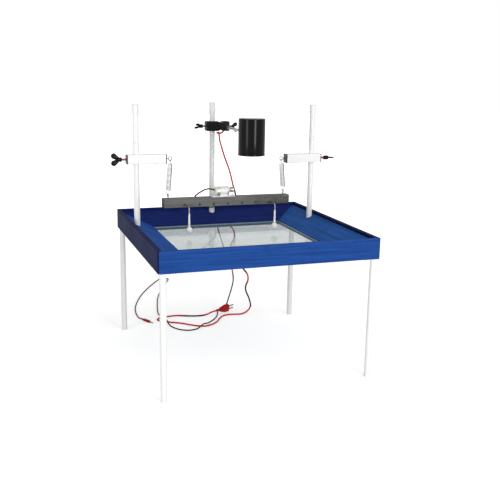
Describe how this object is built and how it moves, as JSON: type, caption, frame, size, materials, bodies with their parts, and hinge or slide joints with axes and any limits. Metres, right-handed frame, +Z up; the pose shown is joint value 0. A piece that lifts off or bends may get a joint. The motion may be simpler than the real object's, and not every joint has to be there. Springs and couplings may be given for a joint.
{
  "type": "ripple tank",
  "caption": "Square glass-bottomed ripple tank on four legs, with a sprung beam, motor, ball dippers and an overhead lamp on upright posts.",
  "frame": {"origin": "on the floor below the middle of the tray", "axes": "+Z up along the posts, the front board faces -Y, +X to the right"},
  "size_m": [0.64, 1.0754, 0.673],
  "materials": {
    "tray_paint": "satin blue paint on board",
    "beach_paint": "satin blue paint on sloping board",
    "glass": "clear float glass",
    "sealant": "translucent silicone bead",
    "plain_wood": "bare softwood",
    "zinc_steel": "zinc plated",
    "bright_steel": "bright spring steel",
    "white_tube": "white powder coat",
    "white_plastic": "white moulded plastic",
    "dark_plastic": "dark moulded plastic",
    "black_plastic": "black moulded plastic",
    "beam_paint": "worn grey paint",
    "motor_metal": "plated motor can",
    "black_metal": "black stove enamel",
    "lamp_metal": "spun aluminium in gloss black enamel",
    "bulb_glass": "clear bulb",
    "black_cable": "black twin flex",
    "red_cable": "twisted red and black flex",
    "red_plastic": "dark red moulded plastic"
  },
  "bodies": {
    "tray": {"front_board": "tray_paint", "back_board": "tray_paint", "left_board": "tray_paint", "right_board": "tray_paint", "front_beach": "beach_paint", "back_beach": "beach_paint", "left_beach": "beach_paint", "right_beach": "beach_paint", "base_strips": "tray_paint", "glass_plate": "glass", "glass_seal": "sealant", "corner_blocks": "plain_wood", "leg_plates": "zinc_steel", "plate_screws": "zinc_steel", "front_left_leg": "white_tube", "front_right_leg": "white_tube", "back_left_leg": "white_tube", "back_right_leg": "white_tube", "leg_caps": "white_plastic", "post_sockets": "zinc_steel", "left_post": "white_tube", "right_post": "white_tube", "post_caps": "white_plastic", "motor_cable": "black_cable", "banana_plug": "red_plastic", "lamp_cable": "red_cable", "two_pin_plug": "red_plastic"},
    "left_arm": {"left_arm": "white_tube", "left_arm_plugs": "dark_plastic", "left_arm_hook": "bright_steel", "left_spring": "bright_steel", "right_spring": "bright_steel"},
    "left_arm_screw": {"left_arm_screw": "black_plastic"},
    "right_arm": {"right_arm": "white_tube", "right_arm_plugs": "dark_plastic", "right_arm_hook": "bright_steel"},
    "right_arm_screw": {"right_arm_screw": "black_plastic"},
    "beam": {"beam": "beam_paint", "beam_eyes": "bright_steel", "cable_clip": "dark_plastic", "motor_can": "motor_metal", "motor_end_bell": "white_plastic", "motor_clip": "white_plastic", "clip_screws": "zinc_steel", "motor_lead": "black_cable"},
    "rotor": {"motor_shaft": "bright_steel", "eccentric": "bright_steel"},
    "left_dipper": {"left_dipper": "white_plastic"},
    "right_dipper": {"right_dipper": "white_plastic"},
    "back_post": {"back_post": "white_tube", "back_post_cap": "white_plastic"},
    "boss": {"boss_head": "black_metal", "lamp_lead": "red_cable"},
    "boss_post_screw": {"boss_post_screw": "black_plastic"},
    "boss_rod_screw": {"boss_rod_screw": "black_plastic"},
    "lamp_arm": {"lamp_arm": "zinc_steel", "lamp_nuts": "zinc_steel"},
    "lamp": {"lamp_housing": "lamp_metal", "lamp_holder": "dark_plastic", "lamp_bulb": "bulb_glass"}
  },
  "joints": [
    {"name": "left_arm_height", "type": "slide", "parent": "tray", "child": "left_arm", "axis": [0, 0, 1], "range_m": [-0.005, 0.06]},
    {"name": "right_arm_height", "type": "slide", "parent": "tray", "child": "right_arm", "axis": [0, 0, 1], "range_m": [-0.005, 0.06]},
    {"name": "left_arm_screw_turn", "type": "hinge", "parent": "left_arm", "child": "left_arm_screw", "pos_m": [-0.277, 0.104, 0.53], "axis": [1, 0, 0], "continuous": true},
    {"name": "right_arm_screw_turn", "type": "hinge", "parent": "right_arm", "child": "right_arm_screw", "pos_m": [0.277, 0.104, 0.524], "axis": [1, 0, 0], "continuous": true},
    {"name": "beam_bounce", "type": "slide", "parent": "left_arm", "child": "beam", "axis": [0, 0, 1], "range_m": [-0.004, 0.004], "stiffness_N_per_m": 780, "springref_m": 0.0043, "deforming": ["left_spring", "right_spring"]},
    {"name": "motor_spin", "type": "hinge", "parent": "beam", "child": "rotor", "pos_m": [0.007, 0.104, 0.4378], "axis": [1, 0, 0], "continuous": true},
    {"name": "left_dipper_turn", "type": "hinge", "parent": "beam", "child": "left_dipper", "pos_m": [-0.123, 0.104, 0.4035], "axis": [0, 1, 0], "range_deg": [-90, 90]},
    {"name": "right_dipper_turn", "type": "hinge", "parent": "beam", "child": "right_dipper", "pos_m": [0.123, 0.104, 0.4035], "axis": [0, 1, 0], "range_deg": [-90, 90]},
    {"name": "back_post_swivel", "type": "hinge", "parent": "tray", "child": "back_post", "pos_m": [0, 0.253, 0.33], "axis": [0, 0, 1], "range_deg": [-90, 60]},
    {"name": "boss_height", "type": "slide", "parent": "back_post", "child": "boss", "axis": [0, 0, 1], "range_m": [-0.06, 0.04]},
    {"name": "boss_post_screw_turn", "type": "hinge", "parent": "boss", "child": "boss_post_screw", "pos_m": [-0.02, 0.253, 0.6055], "axis": [1, 0, 0], "continuous": true},
    {"name": "boss_rod_screw_turn", "type": "hinge", "parent": "boss", "child": "boss_rod_screw", "pos_m": [0.05, 0.253, 0.602], "axis": [1, 0, 0], "continuous": true},
    {"name": "lamp_arm_reach", "type": "slide", "parent": "boss", "child": "lamp_arm", "axis": [0, 1, 0], "range_m": [-0.008, 0.025]},
    {"name": "lamp_tilt", "type": "hinge", "parent": "lamp_arm", "child": "lamp", "pos_m": [0.042, 0.058, 0.602], "axis": [0, 1, 0], "range_deg": [-90, 90]}
  ],
  "couplings": [
    {"joint": "right_arm_height", "follows": "left_arm_height", "ratio": 1}
  ]
}
